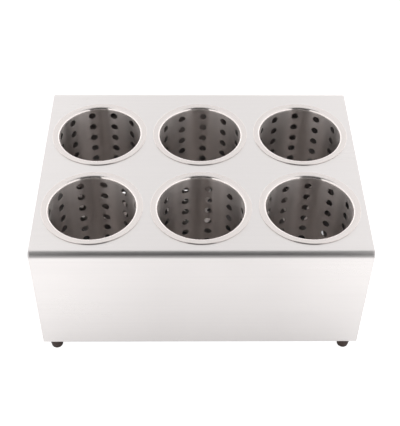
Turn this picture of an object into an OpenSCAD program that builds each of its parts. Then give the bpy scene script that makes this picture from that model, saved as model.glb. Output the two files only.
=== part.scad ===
// Countertop cutlery holder: a folded sheet-metal housing, open below, on four rubber feet.
// Six perforated cups hang by their rims in round holes in its deck and lift out to be washed.
// Millimetres. The origin is on the worktop, under the middle of the housing. +X is to the right,
// the front faces -Y, and +Z is up.

/* [Cups] */
// Inner diameter of a cup's wall
cup_bore_d = 105; // [80:0.5:130]
// Thickness of a cup's sheet
cup_t = 0.7; // [0.5:0.1:1.2]
// Outer diameter of a cup's flat rim
rim_d = 123; // [118:0.5:160]
// Radius of the lip, where the rim turns down into the wall
lip_r = 3.5; // [2.5:0.1:5]
// Height of a cup from its bottom edge to the top of its rim
cup_h = 137; // [130:1:155]
// Radial clearance between a cup's wall and its hole in the deck
cup_clearance = 1.5; // [0.2:0.1:2]
// Gap kept between the lip's underside and the edge of the hole that carries it
seat_gap = 0.1; // [0.05:0.05:0.3]

/* [Perforations] */
// Diameter of a hole in a cup's wall
wall_hole_d = 9.5; // [4:0.5:12]
// Number of holes around a cup
hole_columns = 11; // [6:1:14]
// Number of rows of holes down a cup
hole_rows = 6; // [1:1:6]
// Distance between two rows of holes
row_pitch = 19; // [13:0.2:19.6]

/* [Depth of the first row of holes below each cup's rim] */
// Front left cup, to the centres of the holes
first_row_front_left = 13.4; // [10:0.1:24]
// Front middle cup
first_row_front_middle = 20.6; // [10:0.1:24]
// Front right cup
first_row_front_right = 16.1; // [10:0.1:24]
// Rear left cup
first_row_rear_left = 12.2; // [10:0.1:24]
// Rear middle cup
first_row_rear_middle = 14.6; // [10:0.1:24]
// Rear right cup
first_row_rear_right = 13.7; // [10:0.1:24]

/* [Turn of each cup in its hole] */
// Front left cup, from the back towards the right
turn_front_left = -54.6; // [-180:0.1:180]
// Front middle cup
turn_front_middle = -54.1; // [-180:0.1:180]
// Front right cup
turn_front_right = -28; // [-180:0.1:180]
// Rear left cup
turn_rear_left = -49; // [-180:0.1:180]
// Rear middle cup
turn_rear_middle = -27.4; // [-180:0.1:180]
// Rear right cup
turn_rear_right = -33.9; // [-180:0.1:180]

/* [Cup bases] */
// Height of the skirt turned down around a base
base_skirt = 4; // [3:0.5:10]
// Inner radius of the bend between a base and its skirt
base_bend_r = 1; // [0.5:0.1:2]
// Radial gap between the skirt and the cup's wall
base_gap = 0.05; // [0.02:0.01:0.1]
// Diameter of a drain hole in a base
drain_hole_d = 9.5; // [4:0.5:12]
// Radius of the inner ring of drain holes
drain_ring_inner = 19; // [16:0.5:22]
// Radius of the outer ring of drain holes
drain_ring_outer = 38; // [34:0.5:42]

/* [Layout] */
// Gap between the rims of two cups side by side
rim_gap_x = 8.5; // [2:0.5:40]
// Gap between the rims of a front cup and the cup behind it
rim_gap_y = 13.5; // [2:0.5:40]
// Deck left between a rim and the side of the housing
margin_side = 7; // [5:0.5:60]
// Deck left between the front rims and the front of the housing
margin_front = 15.5; // [8:0.5:60]
// Deck left between the rear rims and the back of the housing
margin_rear = 28; // [8:0.5:60]

/* [Housing] */
// Height of the housing's sheet metal, without the feet
housing_h = 167; // [158:1:260]
// Thickness of the housing's sheet
sheet_t = 1; // [0.8:0.1:1.5]
// Inner radius of the bends along the front and back of the deck
deck_bend_r = 7; // [1:0.5:8]
// Inner radius of the bends along the bottom
hem_bend_r = 1; // [0.5:0.1:2]
// Width of the flanges turned in along the bottom
flange_w = 22; // [20:0.5:30]
// Gap between two flanges where they meet in a corner
flange_gap = 0.5; // [0.2:0.1:2]

/* [Feet] */
// Height of a foot
foot_h = 16; // [13:0.5:30]
// Diameter of a foot where it meets the housing
foot_top_d = 18; // [17:0.5:19]
// Diameter of a foot near the worktop
foot_low_d = 14.5; // [13:0.5:16]
// Radius around a foot's lower edge
foot_edge_r = 1.5; // [0.5:0.1:1.8]
// Distance from the side of the housing to a foot's centre
foot_inset_x = 15; // [12:0.5:40]
// Distance from the front or back of the housing to a foot's centre
foot_inset_y = 10; // [9.5:0.5:11]

/* [Foot screws] */
// Diameter of a screw's shank
screw_d = 4; // [3:0.1:4.5]
// Radial clearance of a screw in its foot, washer and flange
screw_clearance = 0.15; // [0.1:0.05:0.3]
// Radial clearance of a screw in its nut
nut_clearance = 0.05; // [0.02:0.01:0.1]
// Diameter of a screw's head
head_d = 7.6; // [7:0.1:8.2]
// Height of a screw's head
head_h = 2.8; // [2.2:0.1:3.4]
// Width of the slots of a head's cross recess
cross_w = 0.9; // [0.6:0.1:1.2]
// Length of the slots of a head's cross recess
cross_l = 4.4; // [3:0.1:5]
// Depth of a head's cross recess
cross_depth = 1.6; // [1:0.1:1.8]
// Outer diameter of a washer
washer_d = 8.8; // [8.4:0.1:9]
// Thickness of a washer
washer_t = 0.8; // [0.5:0.1:1.2]
// Radial clearance of a washer in the pocket of its foot
pocket_clearance = 0.2; // [0.1:0.05:0.3]
// Depth of a screw's head above the worktop
head_recess = 3; // [2:0.5:6]
// Distance across the flats of a nut
nut_af = 7; // [6.5:0.1:8]
// Height of a nut
nut_h = 3.2; // [2.5:0.1:5]
// Length of a screw that stands out past its nut
screw_end = 1.5; // [0.5:0.1:4]

/* [Hidden] */

STEEL = "#dcd8d6";      // brushed sheet of the housing
CUP_STEEL = "#cbc4bf";  // brushed sheet of the cups
ZINC = "#b9bcc0";
RUBBER = "#2b2929";
past = 1;               // how far a cutting tool reaches past the face it leaves
$fn = 96;

// Cups: where they hang and how high they sit
pitch_x = rim_d + rim_gap_x;
pitch_y = rim_d + rim_gap_y;
cup_wall_d = cup_bore_d + 2 * cup_t;
deck_hole_d = cup_wall_d + 2 * cup_clearance;
lip_under_r = lip_r - cup_t;
// The round underside of the lip meets the hole's edge below its own flat part
lip_drop = lip_under_r - sqrt(pow(lip_under_r, 2) - pow(max(lip_under_r - cup_clearance, 0), 2));
rim_lift = lip_drop + seat_gap;

// Housing: it takes its size from the cups, the gaps and the margins
housing_w = 2 * pitch_x + rim_d + 2 * margin_side;
housing_d = pitch_y + rim_d + margin_front + margin_rear;
front_row_y = -housing_d / 2 + margin_front + rim_d / 2;
deck_z = foot_h + housing_h;
rim_z = deck_z + rim_lift + cup_t;
cup_z = rim_z - cup_h;
shell_l = housing_w - 2 * sheet_t;
deck_outer_r = deck_bend_r + sheet_t;
hem_outer_r = hem_bend_r + sheet_t;

// Feet and their screws
foot_x = housing_w / 2 - foot_inset_x;
foot_y = housing_d / 2 - foot_inset_y;
screw_hole_d = screw_d + 2 * screw_clearance;
pocket_d = washer_d + 2 * pocket_clearance;
washer_z = head_recess + head_h;
pocket_h = washer_z + washer_t;
nut_z = foot_h + sheet_t;
screw_top = nut_z + nut_h + screw_end;

// The centre of a cup's hole. column is -1, 0 or 1 from the left, and row is 0 in front, 1 behind
function cup_place(column, row) = [column * pitch_x, front_row_y + row * pitch_y];

// Leaves an arc of radius r in a square corner at point p, in the given quadrant, 0 to 3
module corner_cut(p, quadrant, r)
    translate(p)
        rotate(90 * quadrant)
            translate([-r, -r])
                difference() {
                    square(r + past);
                    circle(r);
                }

// The housing seen from its side, drawn in by inset from the outer face of the sheet
module housing_outline(inset) {
    back = housing_d / 2 - inset;
    top = housing_h - inset;
    difference() {
        translate([-back, inset])
            square([2 * back, top - inset]);
        corner_cut([back, top], 0, deck_outer_r - inset);
        corner_cut([-back, top], 1, deck_outer_r - inset);
        corner_cut([-back, inset], 2, hem_outer_r - inset);
        corner_cut([back, inset], 3, hem_outer_r - inset);
    }
}

// Turns a side view into a slab that runs along X from x for a length
module along_x(x, length)
    translate([x, 0, foot_h])
        rotate([90, 0, 90])
            linear_extrude(length)
                children();

module foot_places()
    for (x = [-foot_x, foot_x], y = [-foot_y, foot_y])
        translate([x, y, 0])
            children();

// One sheet folded into the front, the deck, the back and their bottom flanges
module deck_shell()
    color(STEEL)
        difference() {
            along_x(-shell_l / 2, shell_l)
                difference() {
                    housing_outline(0);
                    housing_outline(sheet_t);
                    translate([-housing_d / 2 + flange_w, -past])
                        square([housing_d - 2 * flange_w, 2 * past + sheet_t]);
                }
            for (column = [-1:1], row = [0:1])
                translate(cup_place(column, row))
                    translate([0, 0, deck_z - sheet_t - past])
                        cylinder(d = deck_hole_d, h = sheet_t + 2 * past);
            foot_places()
                translate([0, 0, foot_h - past])
                    cylinder(d = screw_hole_d, h = sheet_t + 2 * past);
        }

// The flat end of the housing with its own bottom flange, drawn for the right side
module side_panel() {
    flange_end = housing_d / 2 - flange_w - flange_gap;
    difference() {
        intersection() {
            along_x(housing_w / 2 - flange_w, flange_w)
                housing_outline(0);
            translate([0, housing_d / 2 + past, foot_h])
                rotate([90, 0, 0])
                    linear_extrude(housing_d + 2 * past)
                        difference() {
                            translate([housing_w / 2 - flange_w - past, 0])
                                square([flange_w + past, housing_h]);
                            corner_cut([housing_w / 2, 0], 3, hem_outer_r);
                            translate([housing_w / 2 - flange_w - 2 * past, sheet_t])
                                difference() {
                                    square([flange_w + 2 * past - sheet_t, housing_h]);
                                    corner_cut([flange_w + 2 * past - sheet_t, 0], 3, hem_bend_r);
                                }
                        }
        }
        for (side = [0, 1])
            mirror([0, side, 0])
                translate([housing_w / 2 - flange_w - past, flange_end, foot_h - past])
                    cube([
                        flange_w + past - sheet_t,
                        housing_d / 2 + past - flange_end,
                        sheet_t + hem_bend_r + 2 * past
                    ]);
    }
}

module side_panel_right()
    color(STEEL)
        side_panel();

module side_panel_left()
    color(STEEL)
        mirror([1, 0, 0])
            side_panel();

// A rubber bumper with a pocket below for the washer and the screw's head
module foot(side_x, side_y)
    color(RUBBER)
        translate([side_x * foot_x, side_y * foot_y, 0])
            rotate_extrude()
                difference() {
                    union() {
                        polygon([
                            [0, foot_edge_r], [foot_low_d / 2, foot_edge_r],
                            [foot_top_d / 2, foot_h], [0, foot_h]
                        ]);
                        difference() {
                            square([foot_low_d / 2, foot_edge_r]);
                            corner_cut([foot_low_d / 2, 0], 3, foot_edge_r);
                        }
                    }
                    translate([-past, -past])
                        square([past + pocket_d / 2, past + pocket_h]);
                    translate([-past, 0])
                        square([past + screw_hole_d / 2, foot_h + past]);
                }

module foot_washers()
    color(ZINC)
        foot_places()
            translate([0, 0, washer_z])
                difference() {
                    cylinder(d = washer_d, h = washer_t);
                    translate([0, 0, -past])
                        cylinder(d = screw_hole_d, h = washer_t + 2 * past);
                }

module foot_screws()
    color(ZINC)
        foot_places()
            difference() {
                union() {
                    translate([0, 0, head_recess])
                        cylinder(d = head_d, h = head_h);
                    translate([0, 0, head_recess])
                        cylinder(d = screw_d, h = screw_top - head_recess);
                }
                for (turn = [0, 90])
                    rotate(turn)
                        translate([-cross_l / 2, -cross_w / 2, head_recess - past])
                            cube([cross_l, cross_w, past + cross_depth]);
            }

module foot_nuts()
    color(ZINC)
        foot_places()
            translate([0, 0, nut_z])
                difference() {
                    cylinder(d = nut_af / cos(30), h = nut_h, $fn = 6);
                    translate([0, 0, -past])
                        cylinder(d = screw_d + 2 * nut_clearance, h = nut_h + 2 * past);
                }

// Half of a cup's section, with its wall, lip and flat rim. inset draws it in from the visible face
module cup_section(inset) {
    wall = cup_bore_d / 2 + inset;
    top = cup_h - inset;
    difference() {
        translate([wall, -inset])
            square([rim_d / 2 + inset - wall, top + inset]);
        corner_cut([wall, top], 1, lip_r - inset);
    }
}

// A rolled tube whose top is flared into a flat rim, with rows of round holes through its wall
module cup(column, row, turn, first)
    color(CUP_STEEL)
        translate(cup_place(column, row))
            translate([0, 0, cup_z])
                difference() {
                    rotate_extrude()
                        difference() {
                            cup_section(0);
                            cup_section(cup_t);
                        }
                    for (i = [0:hole_columns - 1], k = [0:hole_rows - 1])
                        rotate(-turn - i * 360 / hole_columns)
                            translate([0, cup_wall_d / 2 + past, cup_h - first - k * row_pitch])
                                rotate([90, 0, 0])
                                    cylinder(d = wall_hole_d, h = cup_t + 2 * past);
                }

// A drained disc with a turned-down skirt, spot-welded inside the bottom of a cup
module cup_base(column, row, turn) {
    outer_r = cup_bore_d / 2 - base_gap;
    color(CUP_STEEL)
        translate(cup_place(column, row))
            translate([0, 0, cup_z])
                difference() {
                    rotate_extrude()
                        difference() {
                            difference() {
                                square([outer_r, base_skirt]);
                                corner_cut([outer_r, base_skirt], 0, base_bend_r + cup_t);
                            }
                            translate([-past, -past])
                                difference() {
                                    square([outer_r - cup_t + past, base_skirt - cup_t + past]);
                                    corner_cut([outer_r - cup_t + past, base_skirt - cup_t + past], 0, base_bend_r);
                                }
                        }
                    translate([0, 0, base_skirt - cup_t - past])
                        rotate(-turn) {
                            cylinder(d = drain_hole_d, h = cup_t + 2 * past);
                            for (i = [0:5])
                                rotate(i * 60)
                                    translate([drain_ring_inner, 0, 0])
                                        cylinder(d = drain_hole_d, h = cup_t + 2 * past);
                            for (i = [0:11])
                                rotate(i * 30)
                                    translate([drain_ring_outer, 0, 0])
                                        cylinder(d = drain_hole_d, h = cup_t + 2 * past);
                        }
                }
}

deck_shell();
side_panel_left();
side_panel_right();
foot(-1, -1);  // foot_front_left
foot(1, -1);  // foot_front_right
foot(-1, 1);  // foot_rear_left
foot(1, 1);  // foot_rear_right
foot_washers();
foot_screws();
foot_nuts();
cup(-1, 0, turn_front_left, first_row_front_left);  // cup_front_left
cup(0, 0, turn_front_middle, first_row_front_middle);  // cup_front_middle
cup(1, 0, turn_front_right, first_row_front_right);  // cup_front_right
cup(-1, 1, turn_rear_left, first_row_rear_left);  // cup_rear_left
cup(0, 1, turn_rear_middle, first_row_rear_middle);  // cup_rear_middle
cup(1, 1, turn_rear_right, first_row_rear_right);  // cup_rear_right
cup_base(-1, 0, turn_front_left);  // cup_base_front_left
cup_base(0, 0, turn_front_middle);  // cup_base_front_middle
cup_base(1, 0, turn_front_right);  // cup_base_front_right
cup_base(-1, 1, turn_rear_left);  // cup_base_rear_left
cup_base(0, 1, turn_rear_middle);  // cup_base_rear_middle
cup_base(1, 1, turn_rear_right);  // cup_base_rear_right
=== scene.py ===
import math

import bmesh
import bpy
import numpy as np
from mathutils import Matrix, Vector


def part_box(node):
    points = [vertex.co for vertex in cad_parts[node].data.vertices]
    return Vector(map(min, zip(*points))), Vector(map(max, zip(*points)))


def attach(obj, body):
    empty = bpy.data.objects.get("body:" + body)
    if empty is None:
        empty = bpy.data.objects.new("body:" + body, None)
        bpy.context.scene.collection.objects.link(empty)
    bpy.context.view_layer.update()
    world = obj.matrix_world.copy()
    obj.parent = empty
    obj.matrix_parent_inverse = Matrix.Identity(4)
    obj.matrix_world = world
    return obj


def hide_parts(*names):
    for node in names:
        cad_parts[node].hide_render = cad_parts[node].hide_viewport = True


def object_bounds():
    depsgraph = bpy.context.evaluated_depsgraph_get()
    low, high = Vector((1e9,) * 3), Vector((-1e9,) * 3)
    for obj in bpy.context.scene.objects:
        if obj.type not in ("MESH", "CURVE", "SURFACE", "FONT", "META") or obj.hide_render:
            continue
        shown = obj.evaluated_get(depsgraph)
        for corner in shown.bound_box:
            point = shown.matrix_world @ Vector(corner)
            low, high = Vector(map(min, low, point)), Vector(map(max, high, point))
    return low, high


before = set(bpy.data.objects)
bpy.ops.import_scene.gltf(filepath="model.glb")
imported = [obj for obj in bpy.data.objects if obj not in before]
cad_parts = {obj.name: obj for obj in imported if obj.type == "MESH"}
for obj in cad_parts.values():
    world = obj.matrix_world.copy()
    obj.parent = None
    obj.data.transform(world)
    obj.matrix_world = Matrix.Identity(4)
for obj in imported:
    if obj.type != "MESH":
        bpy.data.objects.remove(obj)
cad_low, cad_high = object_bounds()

# ---------------------------------------------------------------------------------------------
# Camera
# It stands in front of the holder and above it, and looks down at the deck. Its place and its
# angles come from the housing's corners and the cups' openings in the photograph.
# ---------------------------------------------------------------------------------------------
camera_place = (-0.0162, -0.8348, 0.9403)
camera_down = math.radians(45.26)
camera_turn = math.radians(1.13)
camera_roll = math.radians(0.78)
camera_lens_mm = 75.10

forward = np.array([
    math.sin(camera_turn) * math.cos(camera_down),
    math.cos(camera_turn) * math.cos(camera_down),
    -math.sin(camera_down),
])
level_right = np.array([math.cos(camera_turn), -math.sin(camera_turn), 0.0])
level_up = np.cross(level_right, forward)
right = math.cos(camera_roll) * level_right + math.sin(camera_roll) * level_up
up = math.cos(camera_roll) * level_up - math.sin(camera_roll) * level_right

camera = bpy.data.objects.new("camera", bpy.data.cameras.new("camera"))
camera.data.lens = camera_lens_mm
camera.data.sensor_width = 36.0
turned = Matrix([[right[i], up[i], -forward[i]] for i in range(3)]).to_4x4()
camera.matrix_world = Matrix.Translation(camera_place) @ turned
bpy.context.collection.objects.link(camera)
bpy.context.scene.camera = camera

# ---------------------------------------------------------------------------------------------
# Studio
# A pale floor in an even white surround, clear from below, so that the holder's open underside
# can be looked at. Three cards, overhead, behind the camera and low in front of the holder, give
# the steel its dark and grey reflections, as a studio's flags do.
# ---------------------------------------------------------------------------------------------
floor_half = 6.0
# The floor's paint, and a darker paint under the holder's footprint, which is painted shade under the
# holder.
floor_paint, floor_painted_shade_under = 0.35, 0.10

# The floor's own glow, which makes it white around the holder and leaves it dark underneath. The camera
# sees it even. The steel sees a painted reflection of it, set by its distance from the holder's inset
# footprint, as pairs of distance and brightness: dim next to the holder as painted shade, brightest a
# little way out, and with a little more to both sides of the middle as a painted highlight.
lift_seen = 0.95
lift_inset, lift_fade, lift_reach = 0.025, 0.012, 0.80
lift_shone = ((0.018, 0.0), (0.034, 0.49), (0.20, 0.775), (0.32, 0.60), (0.75, 0.0))
lift_side = 0.14

# Where the sides begin and end, left and right of the middle: in metres on the floor, and in the
# surround as the x of a direction
side_middle, side_from, side_to = 0.025, 0.08, 0.235

card_half_x, card_front_y, card_split_z = 0.75, -1.6, 0.85
ceiling_z, ceiling_back_y = 2.0, 0.1
overhead_grey, behind_grey, low_grey = 0.14, 0.0, 0.33

# The surround is brighter low down, below its knee, and to both sides, and whiter to the camera
surround_low, surround_high, surround_knee = 2.05, 0.865, 0.46
surround_side, surround_seen = 0.15, 0.30


def flat_card(name, corners, material):
    """A card through three corners: one grid of points, corner + u * first side + v * second."""
    low, along, across = (np.array(c, float) for c in corners)
    u, v = np.meshgrid([0.0, 1.0], [0.0, 1.0])
    points = low + u[..., None] * (along - low) + v[..., None] * (across - low)
    mesh = bpy.data.meshes.new(name)
    mesh.from_pydata(points.reshape(-1, 3).tolist(), [], [(0, 1, 3, 2)])
    card = bpy.data.objects.new(name, mesh)
    mesh.materials.append(material)
    bpy.context.collection.objects.link(card)
    return card


def new_material(name):
    """An empty node material: (material, its nodes)."""
    material = bpy.data.materials.new(name)
    material.use_nodes = True
    material.node_tree.nodes.clear()
    return material, material.node_tree.nodes


def add_node(nodes, kind, inputs=None, **settings):
    """A shader node with its settings set, and each named input linked to a socket or set."""
    node = nodes.new(f"ShaderNode{kind}")
    for setting, choice in settings.items():
        setattr(node, setting, choice)
    for key, value in (inputs or {}).items():
        if isinstance(value, bpy.types.NodeSocket):
            node.id_data.links.new(value, node.inputs[key])
        else:
            node.inputs[key].default_value = value
    return node


def maths(nodes, operation, *values):
    """The result of one operation on sockets or numbers."""
    return add_node(nodes, "Math", dict(enumerate(values)), operation=operation).outputs[0]


def ranged(nodes, value, start, end, low, high):
    """A value carried over in proportion: low at start, high at end, and held beyond them."""
    ends = {"From Min": start, "From Max": end, "To Min": low, "To Max": high}
    return add_node(nodes, "MapRange", {"Value": value, **ends}).outputs["Result"]


def to_sides(nodes, x, middle, sides):
    """One value in the middle and another at both sides, by the distance of x from side_middle."""
    off_middle = maths(nodes, "ABSOLUTE", maths(nodes, "SUBTRACT", x, side_middle))
    return ranged(nodes, off_middle, side_from, side_to, middle, sides)


def even_grey(name, grey):
    """A material that shows one even grey, whatever light falls on it."""
    material, nodes = new_material(name)
    shade = add_node(nodes, "Emission", {"Color": (grey, grey, grey, 1)})
    add_node(nodes, "OutputMaterial", {"Surface": shade.outputs[0]})
    return material


floor_material, nodes = new_material("studio_floor")
place = add_node(nodes, "TexCoord").outputs["Object"]
footprint = (cad_high[0] - lift_inset, cad_high[1] - lift_inset, 0)
from_middle = add_node(nodes, "VectorMath", {0: place}, operation="ABSOLUTE").outputs[0]
beyond = add_node(nodes, "VectorMath", {0: from_middle, 1: footprint}, operation="SUBTRACT").outputs[0]
outside = add_node(nodes, "VectorMath", {0: beyond, 1: (0, 0, 0)}, operation="MAXIMUM").outputs[0]
away = add_node(nodes, "VectorMath", {0: outside}, operation="LENGTH").outputs["Value"]
lift = ranged(nodes, away, 0, lift_fade, 0, 1)
# The floor's colour is darker under the holder, as painted shade.
painted = ranged(nodes, away, 0, lift_fade, floor_painted_shade_under, floor_paint)

# The glow that only the steel's reflections see: a painted reflection, dim next to the holder as painted
# shade and brighter to both sides.
paler = add_node(nodes, "ValToRGB", {"Fac": ranged(nodes, away, 0, lift_reach, 0, 1)})
stops = paler.color_ramp.elements  # a new ramp has two
for k, (distance, brightness) in enumerate(lift_shone):
    stop = stops[k] if k < 2 else stops.new(1.0)
    stop.position = distance / lift_reach
    stop.color = (brightness, brightness, brightness, 1)
floor_x = add_node(nodes, "SeparateXYZ", {0: place}).outputs["X"]
sides = to_sides(nodes, floor_x, 0, lift_side)
palest = maths(nodes, "MULTIPLY_ADD", sides, lift, paler.outputs["Color"])

ray = add_node(nodes, "LightPath").outputs
shone = maths(nodes, "MULTIPLY", ray["Is Glossy Ray"], palest)
seen = maths(nodes, "MULTIPLY", ray["Is Camera Ray"], lift)
strength = maths(nodes, "MULTIPLY_ADD", seen, lift_seen, shone)
paint = add_node(nodes, "BsdfDiffuse", {"Color": painted})
glow = add_node(nodes, "Emission", {"Strength": strength})
both = add_node(nodes, "AddShader", {0: paint.outputs[0], 1: glow.outputs[0]})
from_below = add_node(nodes, "NewGeometry").outputs["Backfacing"]
clear = add_node(nodes, "BsdfTransparent")
one_way = add_node(nodes, "MixShader", {"Fac": from_below, 1: both.outputs[0], 2: clear.outputs[0]})
add_node(nodes, "OutputMaterial", {"Surface": one_way.outputs[0]})

flat_card(
    "studio_floor",
    [(-floor_half, -floor_half, 0), (floor_half, -floor_half, 0), (-floor_half, floor_half, 0)],
    floor_material,
)
for name, low_z, high_z, far_y, grey in (
    ("card_overhead", ceiling_z, ceiling_z, ceiling_back_y, overhead_grey),
    ("card_behind_camera", card_split_z, ceiling_z, card_front_y, behind_grey),
    ("card_low_in_front", 0.0, card_split_z, card_front_y, low_grey),
):
    corners = [
        (-card_half_x, card_front_y, low_z),
        (card_half_x, card_front_y, low_z),
        (-card_half_x, far_y, high_z),
    ]
    card = flat_card(name, corners, even_grey(f"{name}_grey", grey))
    card.visible_camera = False
    card.visible_diffuse = False
    card.visible_shadow = False

world = bpy.data.worlds.new("white_surround")
world.use_nodes = True
nodes = world.node_tree.nodes
nodes["Background"].inputs["Color"].default_value = (1, 1, 1, 1)
towards = add_node(nodes, "TexCoord").outputs["Generated"]
direction = add_node(nodes, "SeparateXYZ", {0: towards}).outputs
by_height = ranged(nodes, direction["Z"], 0, surround_knee, surround_low, surround_high)
by_side = to_sides(nodes, direction["X"], 1, 1 + surround_side)
light = maths(nodes, "MULTIPLY", by_height, by_side)
ray = add_node(nodes, "LightPath").outputs
whitened = maths(nodes, "MULTIPLY_ADD", ray["Is Camera Ray"], surround_seen, light)
world.node_tree.links.new(whitened, nodes["Background"].inputs["Strength"])
bpy.context.scene.world = world
bpy.context.scene.view_settings.view_transform = "Standard"

# ---------------------------------------------------------------------------------------------
# Deck shell
# One sheet of 1 mm stainless steel, brushed along its width. It is punched with six holes and
# folded on a press brake into the front, the deck and the back, with a flange along each bottom.
# ---------------------------------------------------------------------------------------------
sheet = 0.001
deck_bend = 0.008
hem_bend = 0.002
flange = 0.022
deck_hole_r = 0.0547
cut_edge = 0.00025
end_edge = 0.0001
HOUSING_STEEL = (0.87, 0.835, 0.825)

# The mesh: its steps round each bend and along a hole's cell, the rings of a cell as shares of
# the way in to its hole, and the narrow row beside a bend that keeps its shading off the flat.
# Points within weld_gap are one, edges under sliver are dropped, and sharp_bend is in degrees.
bend_steps, hem_steps, tip_steps, cell_steps = 16, 6, 3, 36
deck_rings = (0.0, 0.6)
support = 0.0004
weld_gap, sliver, sharp_bend = 2e-6, 1e-6, 40.0

# The finish: how many hairs, bands and smudges there are to the metre across and along the grain,
# and how many upright bands of painted reflection streaks there are in x and y, then how much each
# changes the tone, roughness or bump. Rubbed steel has rubbed_rough of the roughness, and the two
# fades are heights; the second is where the painted streaks and the painted shade fade out.
hairs_per_m, bands_per_m, smudges_per_m = (2200.0, 14.0, 1.0), (260.0, 3.0, 1.0), (14.0, 9.0, 1.0)
painted_streaks_per_m = (42.0, 42.0, 0.0)
noise_low, noise_high = 0.25, 0.75
hair_tone, band_tone, smudge_rough = 0.25, 0.015, 0.06
rubbed_rough, rub_fade, painted_shade_fade = 0.6, 0.001, 0.003
hair_bump, hair_depth = 0.12, 0.00002

shell_low, shell_high = (np.array(corner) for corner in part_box("deck_shell"))
rows, columns = ("front", "rear"), ("left", "middle", "right")
cup_box = {
    (row, column): [np.array(corner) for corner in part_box(f"cup_{row}_{column}")]
    for row in rows
    for column in columns
}
cup_centre = {seat: (low[:2] + high[:2]) / 2 for seat, (low, high) in cup_box.items()}


def arc(centre, radius, start, end, steps):
    """Points of a circle's arc: centre + radius * (cos, sin) of an angle from start to end."""
    t = np.radians(np.linspace(start, end, steps + 1))
    return np.stack([centre[0] + radius * np.cos(t), centre[1] + radius * np.sin(t)], -1)


def rectangle(across, along):
    """The edge of a grid, walked once round: points (a, b), with the first one again at the end."""
    a, b = np.meshgrid(across, along)
    edge = [(0, slice(0, -1)), (slice(0, -1), -1), (-1, slice(None, 0, -1)), (slice(None, 0, -1), 0)]
    walk = np.concatenate([np.stack([a[side], b[side]], -1) for side in edge])
    return np.concatenate([walk, walk[:1]])


def punched(outline, centre, radius, thick, edge, rings):
    """Sheet from an outline in to a round hole, as rings of points (a, b, depth below the face).

    Each point of the outline has a partner on the hole's circle, at the same angle. The rings go
    from the outline to the hole's rounded edge, down through the sheet and out along its back.
    """
    turn = np.arctan2(outline[:, 1] - centre[1], outline[:, 0] - centre[0])
    outward = np.stack([np.cos(turn), np.sin(turn)], -1)
    brink = centre + (radius + 2 * edge) * outward
    layers = [(outline + (brink - outline) * share, 0.0) for share in (*rings, 1.0)]
    layers += [
        (centre + (radius + edge * (1 - math.sin(t))) * outward, edge * (1 - math.cos(t)))
        for t in np.radians([0, 45, 90])
    ]
    layers += [(ring, thick - depth) for ring, depth in layers[::-1]]
    return np.stack([np.column_stack([ring, np.full(len(ring), depth)]) for ring, depth in layers])


def mesh_piece(name, patches, material):
    """One closed mesh from grids of points, each rows x columns x 5: a place and a grain (u, v).

    v runs along the brushed grain and u across it, both in metres. Points that meet are welded,
    flat openings are closed, and edges bent by more than sharp_bend degrees stay sharp.
    """
    points, faces, first = [], [], 0
    for patch in patches:
        tall, wide = patch.shape[:2]
        corner = np.arange(tall - 1)[:, None] * wide + np.arange(wide - 1) + first
        faces.append(np.stack([corner, corner + 1, corner + 1 + wide, corner + wide], -1).reshape(-1, 4))
        points.append(patch.reshape(-1, 5))
        first += tall * wide
    points, faces = np.concatenate(points), np.concatenate(faces)
    mesh = bpy.data.meshes.new(name)
    mesh.from_pydata(points[:, :3].tolist(), [], faces.tolist())
    grain = mesh.uv_layers.new(name="grain")
    grain.data.foreach_set("uv", points[faces.reshape(-1), 3:].astype(np.float32).reshape(-1))
    body = bmesh.new()
    body.from_mesh(mesh)
    bmesh.ops.remove_doubles(body, verts=body.verts, dist=weld_gap)
    bmesh.ops.dissolve_degenerate(body, edges=body.edges, dist=sliver)
    bmesh.ops.holes_fill(body, edges=[e for e in body.edges if e.is_boundary], sides=0)
    bmesh.ops.recalc_face_normals(body, faces=body.faces)
    body.to_mesh(mesh)
    body.free()
    mesh.shade_smooth()
    mesh.set_sharp_from_angle(angle=math.radians(sharp_bend))
    mesh.materials.append(material)
    piece = bpy.data.objects.new(name, mesh)
    bpy.context.collection.objects.link(piece)
    return piece


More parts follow.
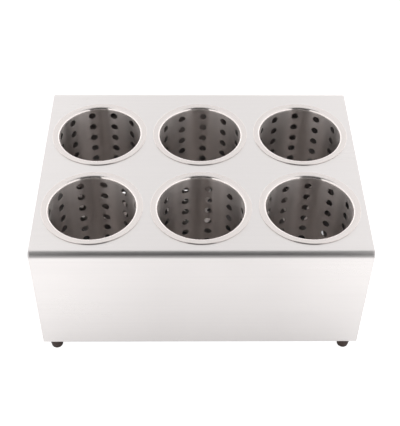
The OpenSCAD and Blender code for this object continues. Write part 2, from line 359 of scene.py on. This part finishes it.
def brushed_steel(
    name, colour, roughness, spread, streak, painted_streaks=0.0, dulled_and_painted_shade=0.0, smooth_unshaded_above=1.0,
):
    """Stainless steel with a fine grain along the piece's v, which spreads a reflection across the
    grain: streaks of noise stretched along v change its roughness, its tone and its bump, and
    faint broad smudges lie over them. Below a given height, upright light and dark bands are
    painted into its tone as painted reflection streaks, off by up to one given share, and its colour
    is darker by another given share as painted shade. Above that height it is rubbed smooth, and has
    neither the painted bands nor the painted shade."""
    material, nodes = new_material(name)
    grain = add_node(nodes, "UVMap", uv_map="grain").outputs[0]
    tangent = add_node(nodes, "Tangent", direction_type="UV_MAP", uv_map="grain").outputs[0]
    place = add_node(nodes, "TexCoord").outputs["Object"]
    height = add_node(nodes, "SeparateXYZ", {0: place}).outputs["Z"]

    def noise(vector, per_m, detail, dimensions="2D"):
        """Noise with that many grains to the metre along each axis of the vector, as its value."""
        stretched = add_node(nodes, "Mapping", {"Vector": vector, "Scale": per_m}).outputs[0]
        look = {"Vector": stretched, "Scale": 1.0, "Detail": detail}
        return add_node(nodes, "TexNoise", look, noise_dimensions=dimensions).outputs["Fac"]

    def varied(value, low, high):
        """A noise's usual values spread from low to high."""
        return ranged(nodes, value, noise_low, noise_high, low, high)

    hairs = noise(grain, hairs_per_m, 3.0)
    bands = noise(grain, bands_per_m, 2.0)
    smudges = noise(grain, smudges_per_m, 2.0)
    # Upright bands of noise, even in height, painted into the tone as streaks of reflection.
    painted_streak_noise = noise(place, painted_streaks_per_m, 1.0, "3D")

    rubbed = ranged(nodes, height, smooth_unshaded_above - rub_fade, smooth_unshaded_above + rub_fade, 1.0, rubbed_rough)
    rough = maths(
        nodes, "MULTIPLY",
        varied(hairs, roughness * (1 - streak), roughness * (1 + streak)),
        varied(smudges, 1 - smudge_rough, 1 + smudge_rough),
    )
    rough = maths(nodes, "MULTIPLY", rough, rubbed)

    # Below the height the tone is darker by a share as painted shade, and banded light and dark as
    # painted reflection streaks.
    painted_below = ranged(nodes, height, smooth_unshaded_above - painted_shade_fade, smooth_unshaded_above, 1.0, 0.0)
    off = maths(nodes, "MULTIPLY", varied(painted_streak_noise, -painted_streaks - dulled_and_painted_shade, painted_streaks - dulled_and_painted_shade), painted_below)
    tone = maths(
        nodes, "MULTIPLY",
        varied(hairs, 1 - hair_tone * streak, 1.0),
        varied(bands, 1 - band_tone, 1.0),
    )
    tone = maths(nodes, "ADD", tone, maths(nodes, "MULTIPLY", tone, off))
    tint = add_node(nodes, "VectorMath", {0: colour, "Scale": tone}, operation="SCALE").outputs[0]

    bump = add_node(nodes, "Bump", {"Strength": hair_bump, "Distance": hair_depth, "Height": hairs})
    steel = add_node(nodes, "BsdfPrincipled", {
        "Base Color": tint, "Metallic": 1.0, "Roughness": rough, "Anisotropic": spread,
        "Tangent": tangent, "Normal": bump.outputs[0],
    })
    add_node(nodes, "OutputMaterial", {"Surface": steel.outputs[0]})
    return material


def folded_side(facing):
    """The shell's section from the edge of its flat deck down one wall to the middle of the tip of
    its flange, as points (y, z) on its outer and on its inner skin. facing is -1 for the front."""
    wall, low_z, high_z = shell_high[1], shell_low[2], shell_high[2]
    skins = []
    for inset in (0.0, sheet):
        skins.append(np.concatenate([
            [[wall - deck_bend - support, high_z - inset]],
            arc((wall - deck_bend, high_z - deck_bend), deck_bend - inset, 90, 0, bend_steps),
            [[wall - inset, high_z - deck_bend - support], [wall - inset, low_z + hem_bend + support]],
            arc((wall - hem_bend, low_z + hem_bend), hem_bend - inset, 0, -90, hem_steps),
            [[wall - hem_bend - support, low_z + inset]],
        ]))
    tip = (wall - flange + sheet / 2, low_z + sheet / 2)
    outer = np.concatenate([skins[0], arc(tip, sheet / 2, 270, 180, tip_steps)])
    inner = np.concatenate([skins[1], arc(tip, sheet / 2, 90, 180, tip_steps)])
    return outer * (facing, 1), inner * (facing, 1)


def swept(path, stations):
    """A path of points (p, q) carried along a straight line: rows x stations of (station, p, q,
    u, v), where u is the length of the path so far and v the station."""
    length = np.r_[0, np.cumsum(np.hypot(*np.diff(path, axis=0).T))]
    grid = np.empty((len(path), len(stations), 5))
    grid[..., 0] = grid[..., 4] = stations
    grid[..., 1:3] = path[:, None]
    grid[..., 3] = length[:, None]
    return grid


steel_of_housing = brushed_steel(
    "housing_brushed_steel", HOUSING_STEEL, roughness=0.30, spread=0.6, streak=0.06,
)
flat_x = shell_high[0] - end_edge - support
flat_y = shell_high[1] - deck_bend - support
hole_x = [cup_centre["front", column][0] for column in columns]
hole_y = [cup_centre[row, "middle"][1] for row in rows]
border_x = [-flat_x, (hole_x[0] + hole_x[1]) / 2, (hole_x[1] + hole_x[2]) / 2, flat_x]
border_y = [-flat_y, (hole_y[0] + hole_y[1]) / 2, flat_y]
grid_x = [np.linspace(a, b, cell_steps + 1) for a, b in zip(border_x, border_x[1:])]
grid_y = [np.linspace(a, b, cell_steps + 1) for a, b in zip(border_y, border_y[1:])]
all_x = np.concatenate([grid_x[0], grid_x[1][1:], grid_x[2][1:]])
all_y = np.concatenate([grid_y[0], grid_y[1][1:]])

patches = []
for i, centre_x in enumerate(hole_x):
    for j, centre_y in enumerate(hole_y):
        cell = punched(
            rectangle(grid_x[i], grid_y[j]), np.array([centre_x, centre_y]),
            deck_hole_r, sheet, cut_edge, deck_rings,
        )
        x, y, depth = np.moveaxis(cell, -1, 0)
        patches.append(np.stack([x, y, shell_high[2] - depth, y, x], -1))
front_outer, front_inner = folded_side(-1)
back_outer, back_inner = folded_side(1)
for outer, inner in ((front_outer, front_inner), (back_outer, back_inner)):
    patches += [swept(outer, all_x), swept(inner, all_x)]

# The sheet's cut ends: its whole section, drawn in as it rounds into the end
section = []
for front, back, height in (
    (front_outer, back_outer, shell_high[2]),
    (front_inner, back_inner, shell_high[2] - sheet),
):
    deck = np.column_stack([all_y, np.full(len(all_y), height)])
    skin = np.concatenate([front[::-1], deck[1:-1], back])
    ahead = np.gradient(skin, axis=0)
    normal = np.stack([-ahead[:, 1], ahead[:, 0]], -1) / np.linalg.norm(ahead, axis=1)[:, None]
    section.append((skin, normal if height == shell_high[2] else -normal))
for side in (-1, 1):
    rounded = [(flat_x, 0.0)]
    rounded += [
        (shell_high[0] - end_edge * (1 - math.sin(t)), end_edge * (1 - math.cos(t)))
        for t in np.radians([0, 45, 90])
    ]
    for skin, normal in section:
        grid = np.stack([
            np.column_stack([np.full(len(skin), side * x), skin - normal * draw]) for x, draw in rounded
        ])
        patches.append(np.concatenate([grid, grid[..., 1:2], grid[..., 0:1]], -1))
    ends = np.stack([patches[-2][-1], patches[-1][-1]])
    patches.append(ends)

deck_shell = mesh_piece("deck_shell_sheet", patches, steel_of_housing)
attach(deck_shell, "housing")
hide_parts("deck_shell")

# ---------------------------------------------------------------------------------------------
# Side panels
# The two ends of the housing, flat sheets brushed from front to back, with a flange turned in
# along the bottom. Each is welded on the deck shell's cut ends, and its own edges are ground.
# ---------------------------------------------------------------------------------------------
flange_gap = 0.0005
ground_edge, ground_angle = 0.0002, 50.0

# The mesh: a row beside each round, heights of rows in the flat, and depths of rows below the top
near_round = 0.004
flat_levels = (0.060, 0.100, 0.140)
top_levels = (0.0025, 0.001, 0.0)
flat_steps, corner_steps, hem_low_steps = 6, 8, 4

panel_low, panel_high = (np.array(corner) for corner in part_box("side_panel_right"))
panel_face, panel_back = panel_high[0], panel_high[0] - sheet
flange_half = panel_high[1] - flange - flange_gap
hem_reach = math.sqrt(hem_bend**2 - (hem_bend - sheet) ** 2)
cut_angle = math.degrees(math.asin(hem_reach / hem_bend))


def hem_x(z):
    """The panel's outer face at a height: flat, and below it the round of the hem's bend."""
    below = np.clip(panel_low[2] + hem_bend - z, 0, hem_bend)
    return panel_face - hem_bend + np.sqrt(hem_bend**2 - below**2)


half_y = np.concatenate([
    np.linspace(0, flange_half, flat_steps + 1),
    [panel_high[1] - deck_bend - near_round],
    panel_high[1] - deck_bend + deck_bend * np.sin(np.radians(np.linspace(0, 90, corner_steps + 1))),
])
panel_y = np.concatenate([-half_y[:0:-1], half_y])
past_top = np.clip(np.abs(panel_y) - (panel_high[1] - deck_bend), 0, deck_bend)
past_hem = np.clip(np.abs(panel_y) - (panel_high[1] - hem_bend), 0, hem_bend)
panel_top = panel_high[2] - deck_bend + np.sqrt(deck_bend**2 - past_top**2)
panel_foot = panel_low[2] + hem_bend - np.maximum(np.sqrt(hem_bend**2 - past_hem**2), 0)
cut_z = panel_low[2] + hem_bend - hem_reach
panel_foot = np.maximum(panel_foot, cut_z)
levels = np.concatenate([
    panel_low[2] + hem_bend * (1 - np.sin(np.radians(np.linspace(cut_angle, 0, hem_steps)))),
    [panel_low[2] + near_round, *flat_levels, panel_high[2] - deck_bend],
    panel_high[2] - np.array(top_levels),
])
share = (levels - cut_z) / (panel_high[2] - cut_z)
panel_z = panel_foot + (panel_top - panel_foot) * share[:, None]
wide_y = np.broadcast_to(panel_y, panel_z.shape)


def on_panel(x, y, z):
    """Points of a panel with the grain along y: (x, y, z, u, v)."""
    return np.stack([np.broadcast_to(x, y.shape), y, z, z, y], -1)


outside = on_panel(hem_x(panel_z), wide_y, panel_z)
inside = on_panel(panel_back, wide_y, panel_z)
over_flange = np.abs(panel_y) <= flange_half + sliver
first, last = np.flatnonzero(over_flange)[[0, -1]]
bend_level = hem_steps - 1
tip = (panel_face - flange + sheet / 2, panel_low[2] + sheet / 2)
flange_path = np.concatenate([
    arc((panel_face - hem_bend, panel_low[2] + hem_bend), hem_bend, -cut_angle, -90, hem_low_steps),
    arc(tip, sheet / 2, 270, 90, 2 * tip_steps),
    arc((panel_face - hem_bend, panel_low[2] + hem_bend), hem_bend - sheet, -90, 0, hem_steps),
])
turned_in = swept(flange_path, panel_y[first:last + 1])[..., [1, 0, 2, 3, 4]]
for name, side in (("left", -1), ("right", 1)):
    patches = [
        outside,
        inside[:, :first + 1],
        inside[:, last:],
        inside[bend_level:, first:last + 1],
        turned_in,
        np.stack([outside[-1], inside[-1]]),
        np.stack([outside[:, 0], inside[:, 0]]),
        np.stack([outside[:, -1], inside[:, -1]]),
        np.stack([outside[0, :first + 1], inside[0, :first + 1]]),
        np.stack([outside[0, last:], inside[0, last:]]),
    ]
    panel = mesh_piece(
        f"side_panel_{name}_sheet", [patch * (side, 1, 1, 1, 1) for patch in patches], steel_of_housing,
    )
    ground = panel.modifiers.new("ground_edges", "BEVEL")
    ground.width = ground_edge
    ground.segments = 2
    ground.limit_method = "ANGLE"
    ground.angle_limit = math.radians(ground_angle)
    ground.harden_normals = True
    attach(panel, "housing")
    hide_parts(f"side_panel_{name}")

# ---------------------------------------------------------------------------------------------
# Feet
# Four bumpers moulded in black rubber, each with a pocket below for its washer and screw.
# ---------------------------------------------------------------------------------------------
foot_r_top, foot_r_low, foot_round = 0.009, 0.00725, 0.0015
pocket_r, pocket_high, screw_hole_r = 0.0046, 0.0066, 0.00215
foot_round_from = -4.0
mould_edge = 0.0004
mould_steps, foot_steps, turn_steps = 3, 6, 64
dust_per_m, dust_pale, dust_low, dust_high = 260.0, 1.7, 0.3, 0.7
rubber_smooth, rubber_rough = 0.5, 0.72
pore_bump, pore_depth = 0.3, 0.0001
RUBBER = (0.042, 0.030, 0.026)


def lathe(path, angles, centre):
    """A path of points (r, z) turned about a vertical axis: rows x angles of (x, y, z, u, v)."""
    length = np.r_[0, np.cumsum(np.hypot(*np.diff(path, axis=0).T))]
    grid = np.empty((len(path), len(angles), 5))
    grid[..., 0] = centre[0] + path[:, :1] * np.sin(angles)
    grid[..., 1] = centre[1] + path[:, :1] * np.cos(angles)
    grid[..., 2] = path[:, 1:]
    grid[..., 3] = length[:, None]
    grid[..., 4] = angles * path[:, 0].max()
    return grid


rubber, nodes = new_material("black_rubber")
place = add_node(nodes, "TexCoord").outputs["Object"]
dust = add_node(nodes, "TexNoise", {"Vector": place, "Scale": dust_per_m, "Detail": 4.0}).outputs["Fac"]
dulled_and_painted_shade = ranged(nodes, dust, dust_low, dust_high, rubber_smooth, rubber_rough)
colours = {"Factor": dust, "A": (*RUBBER, 1), "B": (*(dust_pale * np.array(RUBBER)), 1)}
greyed = add_node(nodes, "Mix", colours, data_type="RGBA").outputs["Result"]
pores = add_node(nodes, "Bump", {"Strength": pore_bump, "Distance": pore_depth, "Height": dust})
skin = add_node(nodes, "BsdfPrincipled", {
    "Base Color": greyed, "Roughness": dulled_and_painted_shade, "Specular IOR Level": 0.25, "Normal": pores.outputs[0],
})
add_node(nodes, "OutputMaterial", {"Surface": skin.outputs[0]})

full_turn = np.linspace(0, 2 * math.pi, turn_steps + 1)
for row in rows:
    for column in ("left", "right"):
        node = f"foot_{row}_{column}"
        low, high = (np.array(corner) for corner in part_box(node))
        profile = np.concatenate([
            [[screw_hole_r, high[2]], [foot_r_top - 3 * mould_edge, high[2]]],
            arc((foot_r_top - mould_edge, high[2] - mould_edge), mould_edge, 90, 0, mould_steps),
            arc((foot_r_low - foot_round, foot_round), foot_round, foot_round_from, -90, foot_steps),
            arc((pocket_r + mould_edge, mould_edge), mould_edge, -90, -180, mould_steps),
            [[pocket_r, pocket_high], [screw_hole_r, pocket_high], [screw_hole_r, high[2]]],
        ])
        foot = mesh_piece(f"{node}_rubber", [lathe(profile, full_turn, (low + high)[:2] / 2)], rubber)
        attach(foot, "housing")
        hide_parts(node)

# ---------------------------------------------------------------------------------------------
# Foot screws, washers and nuts
# Zinc-plated steel. A screw with a cross recess goes up through each foot and the two flanges
# of its corner, with a washer under its head and a hexagon nut on top.
# ---------------------------------------------------------------------------------------------
spangles_per_m = 700.0
spangle_dark = 0.85
zinc_smooth, zinc_rough = 0.28, 0.50
ZINC = (0.62, 0.63, 0.65)

zinc, nodes = new_material("zinc_plating")
place = add_node(nodes, "TexCoord").outputs["Object"]
look = {"Vector": place, "Scale": spangles_per_m, "Detail": 3.0}
spangle = add_node(nodes, "TexNoise", look).outputs["Fac"]
colours = {"Factor": spangle, "A": (*(spangle_dark * np.array(ZINC)), 1), "B": (*ZINC, 1)}
tone = add_node(nodes, "Mix", colours, data_type="RGBA").outputs["Result"]
dulled_and_painted_shade = ranged(nodes, spangle, 0, 1, zinc_smooth, zinc_rough)
plating = add_node(nodes, "BsdfPrincipled", {"Base Color": tone, "Metallic": 1.0, "Roughness": dulled_and_painted_shade})
add_node(nodes, "OutputMaterial", {"Surface": plating.outputs[0]})
for node in ("foot_screws", "foot_washers", "foot_nuts"):
    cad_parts[node].data.materials.clear()
    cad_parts[node].data.materials.append(zinc)

# ---------------------------------------------------------------------------------------------
# Cups
# Six loose tubes rolled from 0.7 mm perforated steel and brushed around. The top of each is
# flared into a flat rim that hangs on the deck. Each stands turned as it was dropped in.
# ---------------------------------------------------------------------------------------------
cup_sheet = 0.0007
cup_r = 0.0525
rim_r = 0.0615
lip = 0.0035
hole_r = 0.00475
hole_columns, hole_rows = 11, 6
row_pitch = 0.0190
pierced_edge = 0.00015
# How far below the deck's top the cups become smooth and lose their painted shade and painted streaks.
smooth_unshaded_below_deck = 0.0015
CUP_STEEL = (0.86, 0.803, 0.778)
cell_across, cell_down = 12, 8
lip_steps, edge_steps = 8, 3
pierced_rings = (0.0, 0.35, 0.7)

# How each cup happens to be turned, in degrees, and how far below its rim its first holes are
cup_turn = {
    ("front", "left"): -54.6, ("front", "middle"): -54.1, ("front", "right"): -28.0,
    ("rear", "left"): -49.0, ("rear", "middle"): -27.4, ("rear", "right"): -33.9,
}
first_row = {
    ("front", "left"): 0.0134, ("front", "middle"): 0.0206, ("front", "right"): 0.0161,
    ("rear", "left"): 0.0122, ("rear", "middle"): 0.0146, ("rear", "right"): 0.0137,
}

# Below the deck the cups' colour is darkened as painted shade and banded as painted reflection streaks;
# their rims above it have neither.
steel_of_cups = brushed_steel(
    "cup_brushed_steel", CUP_STEEL, roughness=0.31, spread=1.0, streak=0.10,
    painted_streaks=0.22, dulled_and_painted_shade=0.155, smooth_unshaded_above=shell_high[2] - smooth_unshaded_below_deck,
)
half_cell = math.pi * cup_r / hole_columns
half_pitch = row_pitch / 2


def fanned(half, away, steps):
    """Places from -half to half, closer together in the middle: the mean of even steps and of
    even angles seen from a point that lies away from the line."""
    widest = math.atan2(half, away)
    even = np.linspace(-half, half, steps + 1)
    by_angle = away * np.tan(np.linspace(-widest, widest, steps + 1))
    return (even + by_angle) / 2


cell_s = fanned(half_cell, half_pitch, cell_across)
cell_z = fanned(half_pitch, half_cell, cell_down)
cell_angles = np.concatenate([
    (2 * half_cell * i + cell_s[:-1]) / cup_r for i in range(hole_columns)
])
cell_angles = np.append(cell_angles, cell_angles[0] + 2 * math.pi)
for seat, (low, high) in cup_box.items():
    row, column = seat
    centre = cup_centre[seat]
    turn = math.radians(cup_turn[seat])
    lip_z = high[2] - lip
    row_z = [high[2] - first_row[seat] - k * row_pitch for k in range(hole_rows)]
    patches = []
    for k, hole_z in enumerate(row_z):
        heights = hole_z + cell_z
        heights = np.minimum(heights, lip_z - support) if k == 0 else heights
        for i in range(hole_columns):
            cell = punched(
                rectangle(2 * half_cell * i + cell_s, heights), np.array([2 * half_cell * i, hole_z]),
                hole_r, cup_sheet, pierced_edge, pierced_rings,
            )
            s, z, depth = np.moveaxis(cell, -1, 0)
            angle = s / cup_r + turn
            radius = cup_r + depth
            patches.append(np.stack([
                centre[0] + radius * np.sin(angle), centre[1] + radius * np.cos(angle), z, z, s,
            ], -1))
    top = min(row_z[0] + half_pitch, lip_z - support)
    bottom = row_z[-1] - half_pitch
    inner_top = np.concatenate([
        [[cup_r, top]],
        arc((cup_r + lip, lip_z), lip, 180, 90, lip_steps),
        [[cup_r + lip + support, high[2]], [rim_r - cup_sheet, high[2]]],
        arc((rim_r - cup_sheet / 2, high[2] - cup_sheet / 2), cup_sheet / 2, 90, 0, edge_steps),
    ])
    outer_top = np.concatenate([
        [[cup_r + cup_sheet, top]],
        arc((cup_r + lip, lip_z), lip - cup_sheet, 180, 90, lip_steps),
        [[cup_r + lip + support, high[2] - cup_sheet], [rim_r - cup_sheet, high[2] - cup_sheet]],
        arc((rim_r - cup_sheet / 2, high[2] - cup_sheet / 2), cup_sheet / 2, -90, 0, edge_steps),
    ])
    tip = (cup_r + cup_sheet / 2, low[2] + cup_sheet / 2)
    inner_low = np.concatenate([[[cup_r, bottom]], arc(tip, cup_sheet / 2, 180, 270, edge_steps)])
    outer_low = np.concatenate([
        [[cup_r + cup_sheet, bottom]], arc(tip, cup_sheet / 2, 360, 270, edge_steps),
    ])
    for path, along in ((inner_top, 1), (outer_top, 1), (inner_low, -1), (outer_low, -1)):
        grid = lathe(path, cell_angles + turn, centre)
        grid[..., 3] = path[0, 1] + along * grid[..., 3]
        grid[..., 4] = cell_angles * cup_r
        patches.append(grid)
    cup = mesh_piece(f"cup_{row}_{column}_tube", patches, steel_of_cups)
    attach(cup, f"{row}_{column}_cup")
    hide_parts(f"cup_{row}_{column}")

# ---------------------------------------------------------------------------------------------
# Cup bases
# A drained disc, pressed from the same sheet with its skirt turned down, is spot-welded inside
# the bottom of each cup.
# ---------------------------------------------------------------------------------------------
drain_r = 0.00475
inner_drains, outer_drains = 6, 12
ring_inner, ring_outer = 0.019, 0.038
base_bend = 0.0017
slice_steps, ring_steps, skirt_steps = 6, 8, 6
drain_rings = (0.0, 0.5)
base_steps = outer_drains * slice_steps
base_around = np.linspace(0, 2 * math.pi, base_steps + 1)


def ring_slice(near, far, start, end, steps):
    """The outline of a slice of a ring: its near arc, a straight side, its far arc and back."""
    side = np.linspace(near, far, ring_steps + 1)[1:-1, None]
    towards = [np.array([[math.cos(a), math.sin(a)]]) for a in np.radians([start, end])]
    walk = np.concatenate([
        arc((0, 0), near, start, end, steps), side * towards[1],
        arc((0, 0), far, end, start, steps), side[::-1] * towards[0],
    ])
    return np.concatenate([walk, walk[:1]])


middle_r = ring_inner / 2
between_r = (ring_inner + ring_outer) / 2
around_r = ring_outer + middle_r
slices = [(arc((0, 0), middle_r, 0, 360, base_steps), (0.0, 0.0))]
for count, near, far in ((inner_drains, middle_r, between_r), (outer_drains, between_r, around_r)):
    step = 360 / count
    for i in range(count):
        mid = math.radians(i * step)
        slices.append((
            ring_slice(near, far, (i - 0.5) * step, (i + 0.5) * step, base_steps // count),
            ((near + far) / 2 * math.cos(mid), (near + far) / 2 * math.sin(mid)),
        ))
for row in rows:
    for column in columns:
        node = f"cup_base_{row}_{column}"
        low, high = (np.array(corner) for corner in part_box(node))
        centre = cup_centre[row, column]
        turn = math.radians(cup_turn[row, column])
        skirt_r = (high - low)[0] / 2
        patches = []
        for outline, hole in slices:
            cell = punched(outline, np.array(hole), drain_r, cup_sheet, pierced_edge, drain_rings)
            a, b, depth = np.moveaxis(cell, -1, 0)
            x = a * math.cos(turn) + b * math.sin(turn)
            y = b * math.cos(turn) - a * math.sin(turn)
            patches.append(np.stack([centre[0] + x, centre[1] + y, high[2] - depth, b, a], -1))
        bend = (skirt_r - base_bend, high[2] - base_bend)
        edge_z = low[2] + cup_sheet / 2
        skirt = np.concatenate([
            [[around_r, high[2]]],
            arc(bend, base_bend, 90, 0, skirt_steps),
            arc((skirt_r - cup_sheet / 2, edge_z), cup_sheet / 2, 0, -180, 2 * edge_steps),
            arc(bend, base_bend - cup_sheet, 0, 90, skirt_steps),
            [[around_r, high[2] - cup_sheet]],
        ])
        patches.append(lathe(skirt, math.pi / 2 - base_around + turn, centre))
        base = mesh_piece(f"{node}_disc", patches, steel_of_cups)
        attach(base, f"{row}_{column}_cup")
        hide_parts(node)
